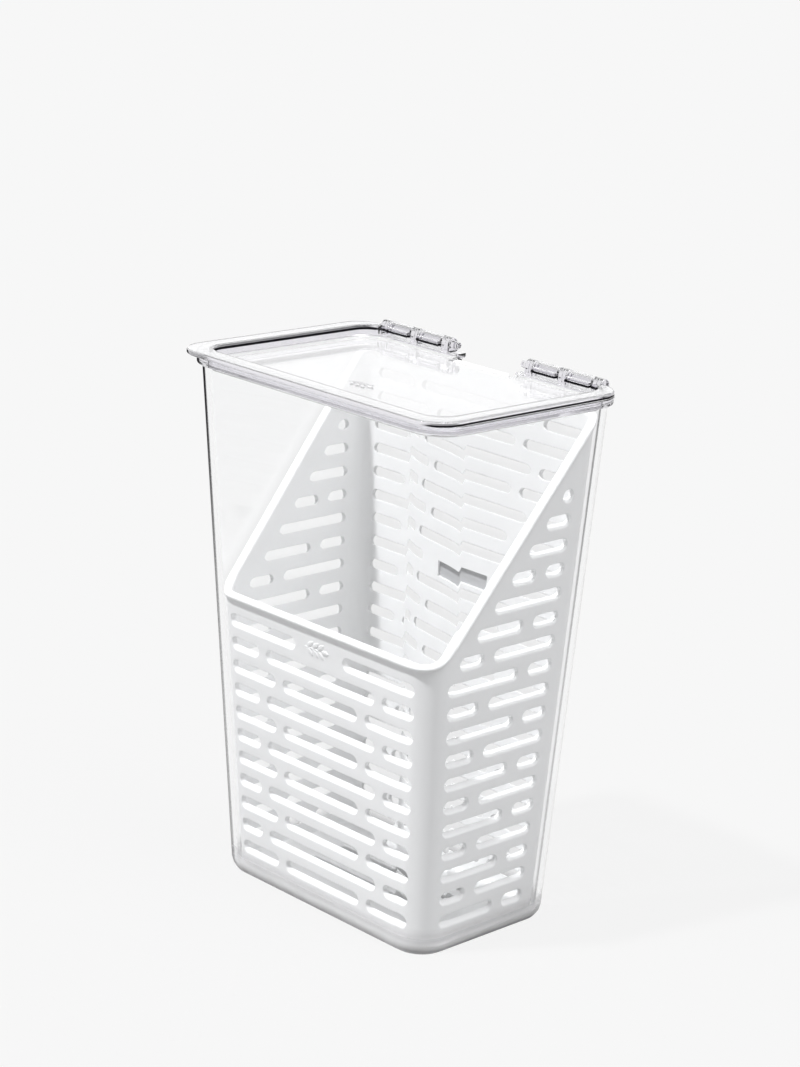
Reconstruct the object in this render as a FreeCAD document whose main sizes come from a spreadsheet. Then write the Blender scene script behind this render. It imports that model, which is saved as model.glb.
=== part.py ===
import FreeCAD, Part
import math
import os

import Sketcher

# Herb keeper: a clear tapered container, a white slotted basket that stands in it, and a clear lid
# that turns on two bars at the back of the container's rim. Millimetres, +Z up, +Y to the hinge,
# origin at the centre of the footprint of the whole keeper.

os.makedirs("parts", exist_ok=True)
doc = FreeCAD.newDocument("herb_keeper")
sheet = doc.addObject("Spreadsheet::Sheet", "Sizes")

DRIVING_SIZES = [
    # Container: outside of the wall at the base and at the rim. Its front leans out the most.
    ("base_width", 114.5),
    ("base_front", 29.0),
    ("base_back", 45.5),
    ("rim_width", 134.6),
    ("rim_front", 47.2),
    ("rim_back", 49.5),
    ("wall_corner", 14.0),
    ("container_height", 211.0),
    ("container_wall", 2.2),
    ("floor_thickness", 2.4),
    ("base_bevel", 3.6),
    ("rim_overhang", 2.0),
    ("rim_depth", 3.2),
    ("floor_bevel", 2.2),
    ("notch_width", 33.0),
    ("notch_depth", 6.0),
    # Basket: it follows the container's wall at a constant distance.
    ("basket_inset", 5.0),
    ("basket_wall", 2.4),
    ("basket_corner", 6.5),
    ("basket_lift", 1.0),
    ("basket_floor", 2.4),
    ("basket_bevel", 2.4),
    ("rib_width", 2.0),
    ("rib_inset", 15.0),
    ("front_height", 118.5),
    ("basket_drop", 8.0),
    ("slope_start", 30.0),
    ("slope_end_gap", 6.1),
    ("slope_blend", 9.0),
    ("band_thickness", 2.2),
    ("band_overhang", 1.6),
    ("tab_gap", 2.0),
    ("tab_rise", 5.4),
    ("tab_shoulder", 4.0),
    ("tab_shoulder_bevel", 2.4),
    ("tab_corner_bevel", 1.6),
    # Slots: rows go round all four walls at the same heights.
    ("slot_height", 6.1),
    ("row_pitch", 9.5),
    ("first_row", 12.6),
    ("front_web", 3.5),
    ("inner_web_place", 22.7),
    ("outer_web_place", 32.0),
    ("front_end_margin", 6.7),
    ("emblem_gap", 25.4),
    ("side_web", 4.6),
    ("side_web_back", 15.1),
    ("side_web_front", 4.5),
    ("side_front_margin", 9.4),
    ("side_back_margin", 11.4),
    ("shortest_slot", 13.2),
    ("slope_margin", 8.6),
    ("top_margin", 5.0),
    ("window_width", 25.4),
    ("window_height", 6.4),
    ("window_depth", 1.5),
    ("drain_length", 66.0),
    ("drain_width", 4.0),
    ("drain_margin", 2.0),
    # Lid: a flat edge that lies over the rim, and a shallow tray that hangs inside the mouth.
    ("lid_gap", 0.3),
    ("lid_thickness", 2.1),
    ("lid_side_overhang", 2.5),
    ("lid_front_overhang", 4.3),
    ("lid_back_setback", 2.0),
    ("lid_front_corner", 12.0),
    ("lid_back_corner", 11.0),
    ("lid_edge_bevel", 0.5),
    ("tray_depth", 5.5),
    ("tray_floor", 2.0),
    ("tray_wall", 1.8),
    ("tray_clearance", 0.5),
    ("lid_notch_reach", 6.0),
    # Hinge: two bars on lugs at the back of the rim, and the lid's clips that turn on them.
    ("axis_inset", 1.5),
    ("axis_rise", 1.6),
    ("bar_diameter", 3.0),
    ("bore_clearance", 0.06),
    ("barrel_diameter", 5.4),
    ("bar_notch_gap", 0.5),
    ("bar_side_margin", 8.7),
    ("first_lug_setback", 3.7),
    ("lug_width", 4.2),
    ("lug_clearance", 0.4),
    ("lug_root", 0.6),
    ("snap_opening", 2.5),
]
for row, (alias, value) in enumerate(DRIVING_SIZES, start=1):
    sheet.set(f"A{row}", alias)
    sheet.set(f"B{row}", str(value))
    sheet.setAlias(f"B{row}", alias)
doc.recompute()


def size(alias):
    """The number that the sheet holds for one alias."""
    return float(sheet.get(alias))


# Places that several pieces share, as expressions for the features

LID_HALF_WIDTH = "(Sizes.rim_width / 2 + Sizes.lid_side_overhang)"
LID_FRONT = "(Sizes.rim_front + Sizes.lid_front_overhang)"
LID_BACK = "(Sizes.rim_back - Sizes.lid_back_setback)"
AXIS_BACK = "(Sizes.rim_back - Sizes.axis_inset)"
AXIS_HEIGHT = "(Sizes.container_height + Sizes.axis_rise)"
BACK_HEIGHT = "(Sizes.container_height - Sizes.basket_drop)"
TAB_HEIGHT = f"({BACK_HEIGHT} + Sizes.tab_rise)"
TAB_HALF_WIDTH = "(Sizes.notch_width / 2 - Sizes.tab_gap)"
BAR_INNER_END = "(Sizes.notch_width / 2 + Sizes.bar_notch_gap)"
BAR_OUTER_END = "(Sizes.rim_width / 2 - Sizes.bar_side_margin)"
FIRST_LUG = "(Sizes.notch_width / 2 + Sizes.first_lug_setback)"


def back_height():
    return size("container_height") - size("basket_drop")


# Sketch helpers

# A sketch names a point by its curve, -1 for the sketch's origin, and by which end of it
ORIGIN = -1
START, END = range(1, 3)
# Half the reach of a block that covers the whole keeper, how far a cutter runs past what it cuts,
# and how near two levels count as the same
FAR = 400.0
PAST = 8.0
NEAR = 0.01


def origin_plane(body, role):
    return next(feature for feature in body.Origin.OriginFeatures if feature.Role == role)


def new_body(name):
    return doc.addObject("PartDesign::Body", name)


def new_sketch(body, name, role="XY_Plane", lift=None):
    """A sketch on one of the body's own planes, raised along its normal by the expression lift."""
    sketch = body.newObject("Sketcher::SketchObject", name)
    sketch.AttachmentSupport = [(origin_plane(body, role), "")]
    sketch.MapMode = "FlatFace"
    if lift:
        sketch.setExpression("AttachmentOffset.Base.z", lift)
    return sketch


def bind(sketch, kind, first, second, expression):
    """Distance from one point to another along a sketch axis, driven by an expression."""
    start, end = [FreeCAD.Vector() if point[0] == ORIGIN else sketch.getPoint(*point)
                  for point in (first, second)]
    reach = end - start
    drawn = reach.x if kind == "DistanceX" else reach.y
    index = sketch.addConstraint(Sketcher.Constraint(kind, *first, *second, drawn))
    sketch.setExpression(f"Constraints[{index}]", expression)


def rounded_rectangle(sketch, half_width, front, back, front_radius, back_radius=None):
    """A rectangle with round corners, from -half_width to half_width and from -front to back."""
    # Drawn roughly here; the constraints below give it its real size
    x, y0, y1, r = 60.0, -45.0, 45.0, 10.0
    line = Part.LineSegment
    vector = FreeCAD.Vector

    def arc(cx, cy, first_angle):
        circle = Part.Circle(vector(cx, cy, 0), vector(0, 0, 1), r)
        start = math.radians(first_angle)
        return Part.ArcOfCircle(circle, start, start + math.pi / 2)

    sketch.addGeometry([
        line(vector(-x + r, y0, 0), vector(x - r, y0, 0)),
        arc(x - r, y0 + r, 270),
        line(vector(x, y0 + r, 0), vector(x, y1 - r, 0)),
        arc(x - r, y1 - r, 0),
        line(vector(x - r, y1, 0), vector(-x + r, y1, 0)),
        arc(-x + r, y1 - r, 90),
        line(vector(-x, y1 - r, 0), vector(-x, y0 + r, 0)),
        arc(-x + r, y0 + r, 180),
    ])
    for first in range(8):
        sketch.addConstraint(Sketcher.Constraint("Tangent", first, END, (first + 1) % 8, START))
    for flat in (0, 4):
        sketch.addConstraint(Sketcher.Constraint("Horizontal", flat))
    for upright in (2, 6):
        sketch.addConstraint(Sketcher.Constraint("Vertical", upright))
    bind(sketch, "DistanceX", (ORIGIN, START), (2, START), half_width)
    bind(sketch, "DistanceX", (6, START), (ORIGIN, START), half_width)
    bind(sketch, "DistanceY", (0, START), (ORIGIN, START), front)
    bind(sketch, "DistanceY", (ORIGIN, START), (4, START), back)
    for corner, radius in ((1, front_radius), (7, front_radius), (3, back_radius), (5, back_radius)):
        index = sketch.addConstraint(Sketcher.Constraint("Radius", corner, r))
        sketch.setExpression(f"Constraints[{index}]", radius or front_radius)


def polygon(sketch, points):
    """A closed outline whose corners are all placed from the origin by expressions."""
    count = len(points)
    # Drawn roughly here, as a regular polygon; the constraints below place each corner
    turns = [2 * math.pi * index / count for index in range(count + 1)]
    rough = [FreeCAD.Vector(50 * math.cos(turn), 50 * math.sin(turn), 0) for turn in turns]
    for start, end in zip(rough, rough[1:]):
        sketch.addGeometry(Part.LineSegment(start, end))
    for index in range(count):
        sketch.addConstraint(Sketcher.Constraint("Coincident", index, END, (index + 1) % count, START))
    for index, (across, up) in enumerate(points):
        bind(sketch, "DistanceX", (ORIGIN, START), (index, START), across)
        bind(sketch, "DistanceY", (ORIGIN, START), (index, START), up)


def pad(body, name, sketch, length, midplane=False, reversed_side=False):
    feature = body.newObject("PartDesign::Pad", name)
    feature.Profile = sketch
    feature.setExpression("Length", length)
    feature.Midplane = midplane
    feature.Reversed = reversed_side
    return feature


def edges_where(shape, wanted):
    """Names of the edges that pass the test."""
    return [f"Edge{number}" for number, edge in enumerate(shape.Edges, start=1) if wanted(edge)]


def lies_at(edge, level):
    return all(abs(vertex.Z - level) < NEAR for vertex in edge.Vertexes)


def is_upright(edge):
    first, last = edge.Vertexes[0], edge.Vertexes[-1]
    return abs(first.Z - last.Z) > NEAR


def fillet(body, name, base, radius, wanted):
    """Round those edges of a feature of the body that pass the test."""
    doc.recompute()
    feature = body.newObject("PartDesign::Fillet", name)
    feature.Base = (base, edges_where(base.Shape, wanted))
    feature.setExpression("Radius", radius)
    return feature


def bevel(body, name, base, reach, wanted):
    """Cut those edges of a feature of the body that pass the test at 45 degrees."""
    doc.recompute()
    feature = body.newObject("PartDesign::Chamfer", name)
    feature.Base = (base, edges_where(base.Shape, wanted))
    feature.setExpression("Size", reach)
    return feature


def box(name, x, y, z, length, width, height):
    """A block with its low corner at x, y, z; all six are expressions."""
    block = doc.addObject("Part::Box", name)
    for target, expression in (("Placement.Base.x", x), ("Placement.Base.y", y), ("Placement.Base.z", z),
                               ("Length", length), ("Width", width), ("Height", height)):
        block.setExpression(target, expression)
    return block


def bar(name, x, length, radius):
    """A round bar along the hinge axis, from x over its length."""
    rod = doc.addObject("Part::Cylinder", name)
    rod.Placement.Rotation = FreeCAD.Rotation(FreeCAD.Vector(0, 1, 0), 90)
    for target, expression in (("Placement.Base.x", x), ("Placement.Base.y", AXIS_BACK),
                               ("Placement.Base.z", AXIS_HEIGHT),
                               ("Height", length), ("Radius", radius)):
        rod.setExpression(target, expression)
    return rod


def fuse(name, pieces):
    joined = doc.addObject("Part::MultiFuse", name)
    joined.Shapes = pieces
    return joined


def cut(name, base, tool):
    result = doc.addObject("Part::Cut", name)
    result.Base = base
    result.Tool = tool
    return result


def common(name, first, second):
    result = doc.addObject("Part::Common", name)
    result.Base = first
    result.Tool = second
    return result


# The wall's place at any height, as an expression for the sketches and as a number for the slots

def wall_expression(base, rim, height):
    return f"(Sizes.{base} + (Sizes.{rim} - Sizes.{base}) * ({height}) / Sizes.container_height)"


def wall_place(base, rim, height):
    return size(base) + (size(rim) - size(base)) * height / size("container_height")


def tapered_block(name, low, high, inset, corner, underside=None):
    """A solid block with round corners that follows the leaning walls from one level to another.

    Where underside is given, its bottom edge is cut off at 45 degrees by that much."""
    body = new_body(name)
    block = body.newObject("PartDesign::AdditiveWedge", f"{name}_block")
    block.Placement.Rotation = FreeCAD.Rotation(FreeCAD.Vector(1, 0, 0), 90)
    block.setExpression("Placement.Base.z", low)
    block.Ymin = 0
    block.setExpression("Ymax", f"{high} - {low}")
    for level, left, right, back, front in ((low, "Xmin", "Xmax", "Zmin", "Zmax"),
                                            (high, "X2min", "X2max", "Z2min", "Z2max")):
        half = f"({wall_expression('base_width', 'rim_width', level)} / 2 - ({inset}))"
        block.setExpression(left, f"-{half}")
        block.setExpression(right, half)
        block.setExpression(back, f"-({wall_expression('base_back', 'rim_back', level)} - ({inset}))")
        block.setExpression(front, f"{wall_expression('base_front', 'rim_front', level)} - ({inset})")
    corners = fillet(body, f"{name}_corners", block, corner, is_upright)
    if underside:
        doc.recompute()
        bottom = min(vertex.Z for vertex in corners.Shape.Vertexes)
        bevel(body, f"{name}_underside", corners, underside, lambda edge: lies_at(edge, bottom))
    return body


# Container: one clear moulding with a rim, a notch at the back and two hinge bars on lugs

RIM_LOW = "(Sizes.container_height - Sizes.rim_depth)"
HINGE_REACH = "(Sizes.barrel_diameter / 2 + Sizes.lug_clearance)"
OPEN_TOP = f"(Sizes.container_height + {PAST})"


def make_container():
    outside = tapered_block("container_outside", "0", "Sizes.container_height", "0", "Sizes.wall_corner",
                            "Sizes.base_bevel")
    rim = tapered_block("rim", RIM_LOW, "Sizes.container_height", "-Sizes.rim_overhang",
                        "Sizes.wall_corner + Sizes.rim_overhang")
    hollow = tapered_block("container_hollow", "Sizes.floor_thickness", OPEN_TOP, "Sizes.container_wall",
                           "Sizes.wall_corner - Sizes.container_wall", "Sizes.floor_bevel")
    notch = box("rim_notch", "-Sizes.notch_width / 2", f"Sizes.rim_back - {PAST}",
                "Sizes.container_height - Sizes.notch_depth", "Sizes.notch_width",
                f"{PAST} * 2", f"Sizes.notch_depth + {PAST}")
    openings = [hollow, notch]
    lugs = []
    for side, sign in (("left", -1), ("right", 1)):
        openings.append(hinge_zone(side, sign))
        lugs += hinge_lugs(side, sign)
    shell = cut("notched_shell", fuse("rimmed_block", [outside, rim]), fuse("openings", openings))
    container = fuse("container", [shell] + lugs)
    container.Label = "container"
    return container


def span(sign, inner, length):
    """Low end in X of a stretch that starts at inner on one side of the middle."""
    return inner if sign > 0 else f"-({inner}) - ({length})"


def hinge_zone(side, sign):
    """The rim is cut down beside the notch, under the bar, so that the lid's clips can turn."""
    inner = "(Sizes.notch_width / 2 - Sizes.lug_clearance)"
    length = f"({BAR_OUTER_END} + Sizes.lug_clearance - {inner})"
    return box(f"{side}_hinge_zone", span(sign, inner, length),
               f"{AXIS_BACK} - {HINGE_REACH}", f"{AXIS_HEIGHT} - {HINGE_REACH}",
               length, "Sizes.barrel_diameter * 2", "Sizes.barrel_diameter")


def lug_starts():
    """Inner ends of the three lugs of one hinge: next to the notch, in the middle, at the far end."""
    last = f"({BAR_OUTER_END} - Sizes.lug_width)"
    return [FIRST_LUG, f"(({FIRST_LUG} + {last}) / 2)", last]


def hinge_lugs(side, sign):
    """The bar of one hinge, and the lugs that carry it on the wall and the rim."""
    bar_length = f"({BAR_OUTER_END} - {BAR_INNER_END})"
    pieces = [bar(f"{side}_hinge_bar", span(sign, BAR_INNER_END, bar_length), bar_length,
                  "Sizes.bar_diameter / 2")]
    foot_low = f"({AXIS_HEIGHT} - {HINGE_REACH} - Sizes.lug_root)"
    foot_front = "(Sizes.rim_back - Sizes.container_wall)"
    for number, start in enumerate(lug_starts(), start=1):
        low = span(sign, start, "Sizes.lug_width")
        pieces.append(bar(f"{side}_lug_{number}_eye", low, "Sizes.lug_width",
                          "Sizes.barrel_diameter / 2"))
        pieces.append(box(f"{side}_lug_{number}_foot", low, foot_front, foot_low, "Sizes.lug_width",
                          f"{AXIS_BACK} + Sizes.barrel_diameter / 2 - {foot_front}",
                          f"{AXIS_HEIGHT} - {foot_low}"))
    return pieces


# Basket: one white moulding, low in front and high at the back, with a flanged edge all round

BASKET_BOTTOM = "(Sizes.floor_thickness + Sizes.basket_lift)"
SLOPE_END = "(Sizes.rim_back - Sizes.basket_inset - Sizes.slope_end_gap)"
SLOPE = f"(({BACK_HEIGHT} - Sizes.front_height) / ({SLOPE_END} + Sizes.slope_start))"


def slope_corner(level, drop):
    """Where the slope meets a level edge, for an outline moved square to itself by drop."""
    shift = f"({drop}) * (sqrt(1 + {SLOPE} ^ 2) - 1)"
    return f"-Sizes.slope_start + ({level} - Sizes.front_height + {shift}) / {SLOPE}"


def mouth_cutter(name, drop):
    """All that lies above the basket's edge: level in front, sloped at the sides, level at the back."""
    body = new_body(name)
    sketch = new_sketch(body, f"{name}_profile", role="YZ_Plane")
    front_level = f"(Sizes.front_height - ({drop}))"
    back_level = f"({BACK_HEIGHT} - ({drop}))"
    polygon(sketch, [
        (f"-{FAR}", front_level),
        (slope_corner("Sizes.front_height", drop), front_level),
        (slope_corner(BACK_HEIGHT, drop), back_level),
        (f"{FAR}", back_level),
        (f"{FAR}", f"{FAR}"),
        (f"-{FAR}", f"{FAR}"),
    ])
    block = pad(body, f"{name}_block", sketch, f"{FAR}", midplane=True)
    fillet(body, f"{name}_blend", block, "Sizes.slope_blend", is_slope_end)
    return body


def is_slope_end(edge):
    """True for the two edges across the mouth where the slope begins and ends."""
    first, last = edge.Vertexes[0], edge.Vertexes[-1]
    return max(abs(first.Y), abs(last.Y)) < FAR / 2 and abs(first.X - last.X) > FAR / 2


def tab_block():
    """A plate-shaped block that cuts the lifting tab, with hollow shoulders, out of the back wall."""
    body = new_body("tab_block")
    sketch = new_sketch(body, "tab_profile", role="XZ_Plane")
    half = TAB_HALF_WIDTH
    foot = f"({half} + Sizes.tab_shoulder)"
    low = f"({BACK_HEIGHT} - Sizes.band_thickness)"
    polygon(sketch, [
        (f"-{foot}", low), (foot, low), (foot, BACK_HEIGHT), (half, BACK_HEIGHT),
        (half, TAB_HEIGHT), (f"-{half}", TAB_HEIGHT),
        (f"-{half}", BACK_HEIGHT), (f"-{foot}", BACK_HEIGHT),
    ])
    block = pad(body, "tab_pad", sketch, "Sizes.rim_back", reversed_side=True)
    half_width = size("notch_width") / 2 - size("tab_gap")

    def at_side(edge):
        return all(abs(abs(vertex.X) - half_width) < NEAR for vertex in edge.Vertexes)

    shoulders = bevel(body, "tab_shoulders", block, "Sizes.tab_shoulder_bevel",
                      lambda edge: at_side(edge) and lies_at(edge, back_height()))
    bevel(body, "tab_corners", shoulders, "Sizes.tab_corner_bevel",
          lambda edge: at_side(edge) and lies_at(edge, back_height() + size("tab_rise")))
    return body


END_CHORDS = 3


def slot_face(first, second, height, place):
    """A slot's outline as a face, from first to second along its row; place puts it on its wall.

    Each round end is drawn with a few chords, because there are so many slots."""
    radius = height / 2
    corners = []
    for middle, start in ((second - radius, -math.pi / 2), (first + radius, math.pi / 2)):
        for step in range(END_CHORDS + 1):
            turn = start + math.pi * step / END_CHORDS
            corners.append(place(middle + radius * math.cos(turn), radius * math.sin(turn)))
    return Part.Face(Part.makePolygon(corners + corners[:1]))


def row_heights(highest):
    """Centre heights of the rows of slots up to a level."""
    count = int((highest - size("first_row")) / size("row_pitch")) + 1
    return [size("first_row") + size("row_pitch") * number for number in range(count)]


def split_row(first, second, webs, web_width):
    """Slots between first and second, parted by webs centred at the given places."""
    slots = []
    start = first
    for web in sorted(webs):
        slots.append((start, web - web_width / 2))
        start = web + web_width / 2
    slots.append((start, second))
    return [(a, b) for a, b in slots if b - a > size("slot_height")]


def cross_wall_slots(number, half_width):
    """Slots of one row of the front or back wall, whose webs lie further in on every other row."""
    end = half_width - size("basket_inset") - size("front_end_margin")
    web = size("outer_web_place") if number % 2 else size("inner_web_place")
    return split_row(-end, end, [-web, web], size("front_web"))


def through_wall(stretches, outer_face, place, direction):
    """Stadium prisms that pass through one wall; outer_face is how far the wall's outside lies."""
    ahead = size("basket_wall")
    depth = ahead + size("basket_wall") + ahead
    prisms = []
    for first, second in stretches:
        face = slot_face(first, second, size("slot_height"),
                         lambda along, up: place(along, up, outer_face + ahead))
        prisms.append(face.extrude(direction * -depth))
    return prisms


def front_slots():
    rows = row_heights(size("front_height") - size("top_margin"))
    prisms = []
    for number, height in enumerate(rows):
        stretches = cross_wall_slots(number, wall_place("base_width", "rim_width", height) / 2)
        if number == len(rows) - 1:
            end = stretches[-1][1]
            stretches = [(-end, -size("emblem_gap") / 2), (size("emblem_gap") / 2, end)]
        outer = wall_place("base_front", "rim_front", height) - size("basket_inset")
        prisms += through_wall(stretches, outer,
                               lambda along, up, out, z=height: FreeCAD.Vector(along, -out, z + up),
                               FreeCAD.Vector(0, -1, 0))
    return prisms


def window_row():
    """Number of the back wall's row that holds the window: the first one above the front edge."""
    return len(row_heights(size("front_height")))


def back_slots():
    rows = row_heights(back_height() - size("band_thickness") - size("top_margin"))
    prisms = []
    for number, height in enumerate(rows):
        stretches = cross_wall_slots(number, wall_place("base_width", "rim_width", height) / 2)
        if number == window_row():
            stretches = [stretches[0], stretches[-1]]
        outer = wall_place("base_back", "rim_back", height) - size("basket_inset")
        prisms += through_wall(stretches, outer,
                               lambda along, up, out, z=height: FreeCAD.Vector(along, out, z + up),
                               FreeCAD.Vector(0, 1, 0))
    return prisms


def slope_line(height):
    """Y of the flange's lower edge on the slope at a height."""
    end = size("rim_back") - size("basket_inset") - size("slope_end_gap")
    slope = (back_height() - size("front_height")) / (end + size("slope_start"))
    drop = size("band_thickness") * math.hypot(1, slope)
    return -size("slope_start") + (height - size("front_height") + drop) / slope


def side_row(number, height):
    """Slots of one row of a side wall, cut short where the slope comes down."""
    front = -wall_place("base_front", "rim_front", height) + size("basket_inset")
    back = wall_place("base_back", "rim_back", height) - size("basket_inset")
    first = max(front + size("side_front_margin"), slope_line(height) + size("slope_margin"))
    last = back - size("side_back_margin")
    half_web = size("side_web") / 2
    web = size("side_web_back") if number % 2 == 0 else -size("side_web_front")
    if first < web - half_web:
        web = max(web, first + size("shortest_slot") + half_web)
    if web - half_web <= first or web + half_web + size("shortest_slot") / 2 > last:
        return [(first, last)] if last - first > size("slot_height") else []
    return split_row(first, last, [web], size("side_web"))


def side_slots():
    prisms = []
    for number, height in enumerate(row_heights(back_height() - size("top_margin"))):
        stretches = side_row(number, height)
        outer = wall_place("base_width", "rim_width", height) / 2 - size("basket_inset")
        for sign in (-1, 1):
            prisms += through_wall(
                stretches, outer,
                lambda along, up, out, z=height, side=sign: FreeCAD.Vector(side * out, along, z + up),
                FreeCAD.Vector(sign, 0, 0))
    return prisms


def floor_slots():
    """Drain slots along X in the basket's floor, between its two ribs."""
    front = -size("base_front") + size("rib_inset") + size("rib_width") + size("drain_margin")
    back = size("base_back") - size("rib_inset") - size("rib_width") - size("drain_margin")
    low = size("floor_thickness")
    height = size("basket_lift") + size("basket_floor") + size("basket_wall")
    length = size("drain_length")
    width = size("drain_width")
    # The webs between the slots are about as wide as the slots
    count = int((back - front) / (width * 2)) + 1
    step = (back - front - width) / max(count - 1, 1)
    return [Part.makeBox(length, width, height, FreeCAD.Vector(-length / 2, front + step * number, low))
            for number in range(count)]


def window_tool():
    """Block that sinks the rectangular window into the inner face of the back wall."""
    height = size("first_row") + size("row_pitch") * window_row()
    inner = wall_place("base_back", "rim_back", height) - size("basket_inset") - size("basket_wall")
    low = FreeCAD.Vector(-size("window_width") / 2, inner - PAST, height - size("window_height") / 2)
    return Part.makeBox(size("window_width"), PAST + size("window_depth"), size("window_height"), low)


def basket_ribs():
    """Two low ribs along X, on which the basket stands on the container's floor."""
    length = "(Sizes.base_width - 2 * Sizes.rib_inset)"
    return [box(name, f"-{length} / 2", y, "Sizes.floor_thickness", length, "Sizes.rib_width",
                "Sizes.basket_lift + Sizes.basket_floor / 2")
            for name, y in (("front_rib", "-Sizes.base_front + Sizes.rib_inset"),
                            ("back_rib", "Sizes.base_back - Sizes.rib_inset - Sizes.rib_width"))]


def make_basket():
    block = tapered_block("basket_outside", BASKET_BOTTOM, OPEN_TOP, "Sizes.basket_inset",
                          "Sizes.basket_corner", "Sizes.basket_bevel")
    wide_block = tapered_block("flange_outside", BASKET_BOTTOM, OPEN_TOP,
                               "(Sizes.basket_inset - Sizes.band_overhang)",
                               "Sizes.basket_corner + Sizes.band_overhang")
    hollow = tapered_block("basket_hollow", f"({BASKET_BOTTOM} + Sizes.basket_floor)", OPEN_TOP,
                           "(Sizes.basket_inset + Sizes.basket_wall)",
                           "Sizes.basket_corner - Sizes.basket_wall")
    above_edge = mouth_cutter("above_edge", "0")
    above_band = mouth_cutter("above_band", "Sizes.band_thickness")
    low_block = cut("low_block", block, above_edge)
    flange = cut("flange", common("flange_zone", wide_block, above_band), above_edge)
    tab = common("lifting_tab", block, tab_block())
    solid = fuse("basket_solid", [low_block, flange, tab] + basket_ribs())

    tools = doc.addObject("Part::Feature", "slot_tools")
    tools.Shape = Part.makeCompound(front_slots() + back_slots() + side_slots() + floor_slots()
                                    + [window_tool()])
    basket = cut("basket", cut("hollow_basket", solid, hollow), tools)
    basket.Label = "basket"
    return basket


# Lid: one clear moulding with a flat edge, a shallow tray, a notch at the back and four hinge clips

LID_LOW = "(Sizes.container_height + Sizes.lid_gap)"
LID_TOP = f"({LID_LOW} + Sizes.lid_thickness)"
TRAY_FLOOR = f"({LID_TOP} - Sizes.tray_depth)"


def lid_plate():
    body = new_body("lid_plate")
    outline = new_sketch(body, "lid_outline", lift=LID_LOW)
    rounded_rectangle(outline, LID_HALF_WIDTH, LID_FRONT, LID_BACK,
                      "Sizes.lid_front_corner", "Sizes.lid_back_corner")
    plate = pad(body, "plate", outline, "Sizes.lid_thickness")
    doc.recompute()
    top = plate.Shape.BoundBox.ZMax
    bevel(body, "plate_edge", plate, "Sizes.lid_edge_bevel", lambda edge: lies_at(edge, top))
    return body


def clip_rooms(side, sign):
    """Room in the lid's back edge for the container's lugs, the first one open to the notch."""
    rooms = []
    starts = lug_starts()
    inner_ends = ["Sizes.notch_width / 2"] + starts[1:]
    for number, (start, inner_end) in enumerate(zip(starts, inner_ends), start=1):
        inner = f"({inner_end} - Sizes.lug_clearance)"
        length = f"({start} + Sizes.lug_width + Sizes.lug_clearance - {inner})"
        rooms.append(box(f"{side}_lug_room_{number}", span(sign, inner, length),
                         f"{AXIS_BACK} - {HINGE_REACH}", f"{AXIS_HEIGHT} - {HINGE_REACH}",
                         length, "Sizes.barrel_diameter * 2", "Sizes.barrel_diameter * 2"))
    return rooms


def hinge_clips(side, sign):
    """Barrels between the lugs, each on a short arm of the lid's flat edge."""
    clips = []
    lugs = lug_starts()
    for number in range(1, len(lugs)):
        start = f"({lugs[number - 1]} + Sizes.lug_width + Sizes.lug_clearance)"
        length = f"({lugs[number]} - Sizes.lug_clearance - {start})"
        low = span(sign, start, length)
        name = f"{side}_clip_{number}"
        clips.append(bar(f"{name}_barrel", low, length, "Sizes.barrel_diameter / 2"))
        clips.append(box(f"{name}_arm", low, f"{AXIS_BACK} - Sizes.barrel_diameter / 2", LID_LOW, length,
                         "Sizes.barrel_diameter / 2", "Sizes.lid_thickness"))
    return clips


def clip_bores(side, sign):
    """The bore of one side's clips and the slot behind it, through which they snap over the bar."""
    inner = f"({BAR_INNER_END} - Sizes.lug_clearance)"
    length = f"({BAR_OUTER_END} + Sizes.lug_clearance - {inner})"
    low = span(sign, inner, length)
    return [bar(f"{side}_bore", low, length, "Sizes.bar_diameter / 2 + Sizes.bore_clearance"),
            box(f"{side}_snap_slot", low, AXIS_BACK, f"{AXIS_HEIGHT} - Sizes.snap_opening / 2",
                length, "Sizes.barrel_diameter", "Sizes.snap_opening")]


def make_lid():
    tray_inset = "(Sizes.container_wall + Sizes.tray_clearance)"
    tray = tapered_block("tray_outside", f"({TRAY_FLOOR} - Sizes.tray_floor)",
                         f"({LID_LOW} + Sizes.lid_thickness / 2)", tray_inset,
                         f"Sizes.wall_corner - {tray_inset}")
    hollow = tapered_block("tray_hollow", TRAY_FLOOR, f"({LID_TOP} + Sizes.tray_depth)",
                           f"({tray_inset} + Sizes.tray_wall)",
                           f"Sizes.wall_corner - {tray_inset} - Sizes.tray_wall")
    notch = box("lid_notch", "-Sizes.notch_width / 2", f"{LID_BACK} - Sizes.lid_notch_reach",
                f"{TRAY_FLOOR} - Sizes.tray_depth", "Sizes.notch_width",
                "Sizes.lid_notch_reach * 2", "Sizes.tray_depth * 3")
    openings = [hollow, notch]
    clips = []
    bores = []
    for side, sign in (("left", -1), ("right", 1)):
        openings += clip_rooms(side, sign)
        clips += hinge_clips(side, sign)
        bores += clip_bores(side, sign)
    plate = cut("cut_plate", fuse("plate_and_tray", [lid_plate(), tray]), fuse("lid_openings", openings))
    lid = cut("lid", fuse("lid_solid", [plate] + clips), fuse("lid_bores", bores))
    lid.Label = "lid"
    return lid


def check(objects):
    """Stop if anything failed to build or a piece is not one sound solid."""
    for item in doc.Objects:
        if any(word in item.State for word in ("Invalid", "Error")):
            raise RuntimeError(f"{item.Name} failed: {item.State}")
    for item in objects:
        if item.Shape.isNull() or not item.Shape.isValid():
            raise RuntimeError(f"{item.Label} has no sound shape")


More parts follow.
